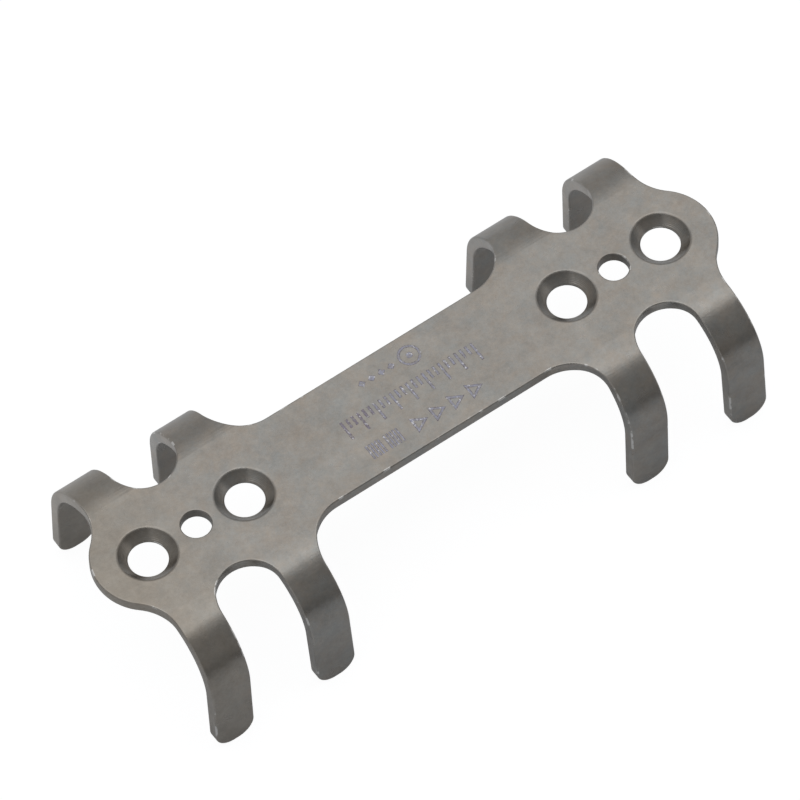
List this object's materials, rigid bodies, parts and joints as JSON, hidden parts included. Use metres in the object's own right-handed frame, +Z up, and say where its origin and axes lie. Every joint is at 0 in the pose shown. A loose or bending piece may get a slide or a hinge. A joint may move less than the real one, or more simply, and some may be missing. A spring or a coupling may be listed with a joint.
{
  "type": "orthopedic bone plate",
  "caption": "Titanium bone plate for a rib: a flat shaft between two heads with countersunk screw holes and claws bent down along both sides.",
  "frame": {"origin": "under the middle of the plate, at the height of the claw tips that it stands on", "axes": "+X along the plate, +Y across it, towards one row of claws, and +Z up, out of the plate's outer face"},
  "size_m": [0.045, 0.0178, 0.0095],
  "materials": {
    "titanium": "fine blasted titanium, warm mid-grey with a soft satin sheen"
  },
  "bodies": {
    "root": {"bone_plate": "titanium"}
  },
  "joints": []
}
